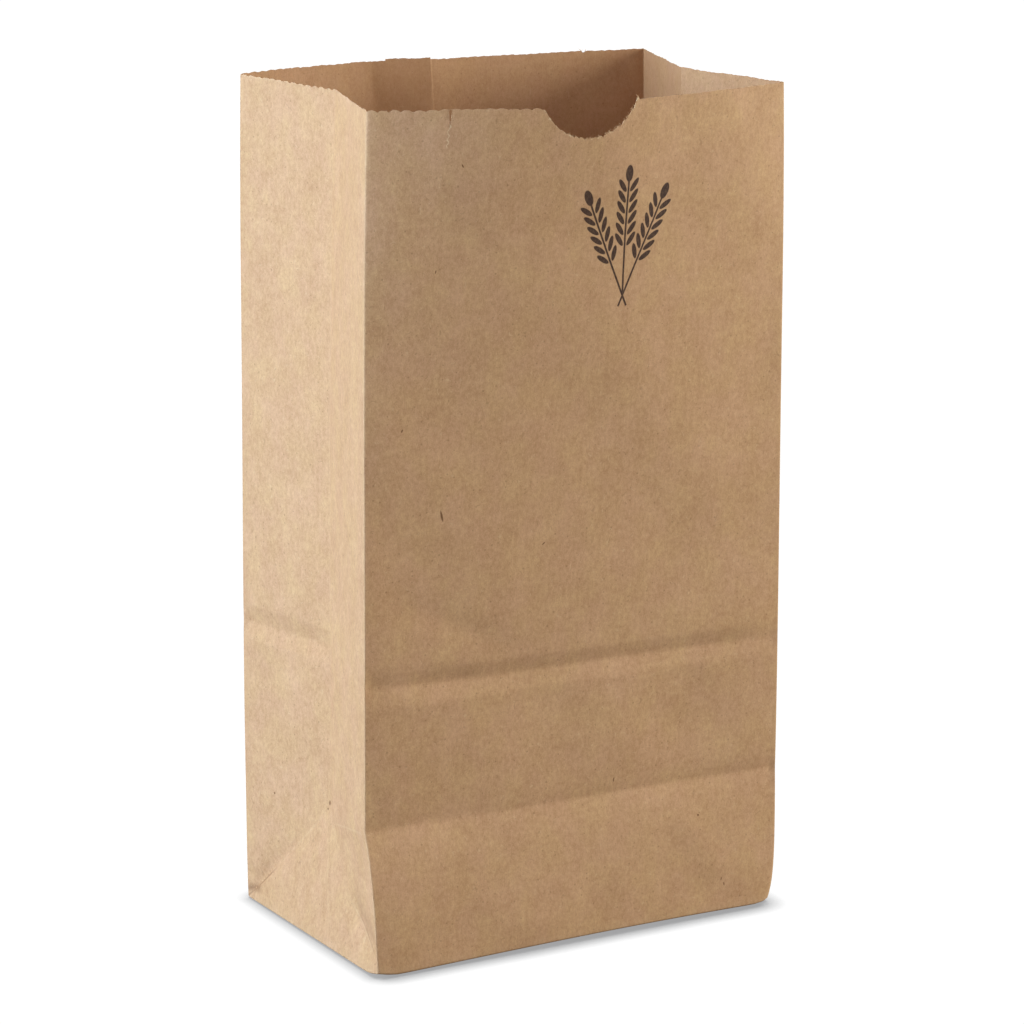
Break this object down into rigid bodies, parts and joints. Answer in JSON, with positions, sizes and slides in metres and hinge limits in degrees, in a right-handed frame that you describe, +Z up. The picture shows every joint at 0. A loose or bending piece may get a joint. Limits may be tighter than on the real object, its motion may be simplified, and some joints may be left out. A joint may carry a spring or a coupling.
{
  "type": "paper grocery bag",
  "caption": "Open flat-bottomed kraft paper bag with side gussets, a saw-cut mouth, a thumb notch in its front rim and a folded, pasted base.",
  "frame": {"origin": "middle of the underside of the base, where the bag stands", "axes": "+Z up towards the mouth, -Y out of the front panel with the thumb notch, +X to the right seen from the front"},
  "size_m": [0.1219, 0.0936, 0.2199],
  "materials": {
    "kraft_paper": "matte"
  },
  "bodies": {
    "root": {"paper_bag": "kraft_paper"}
  },
  "joints": []
}
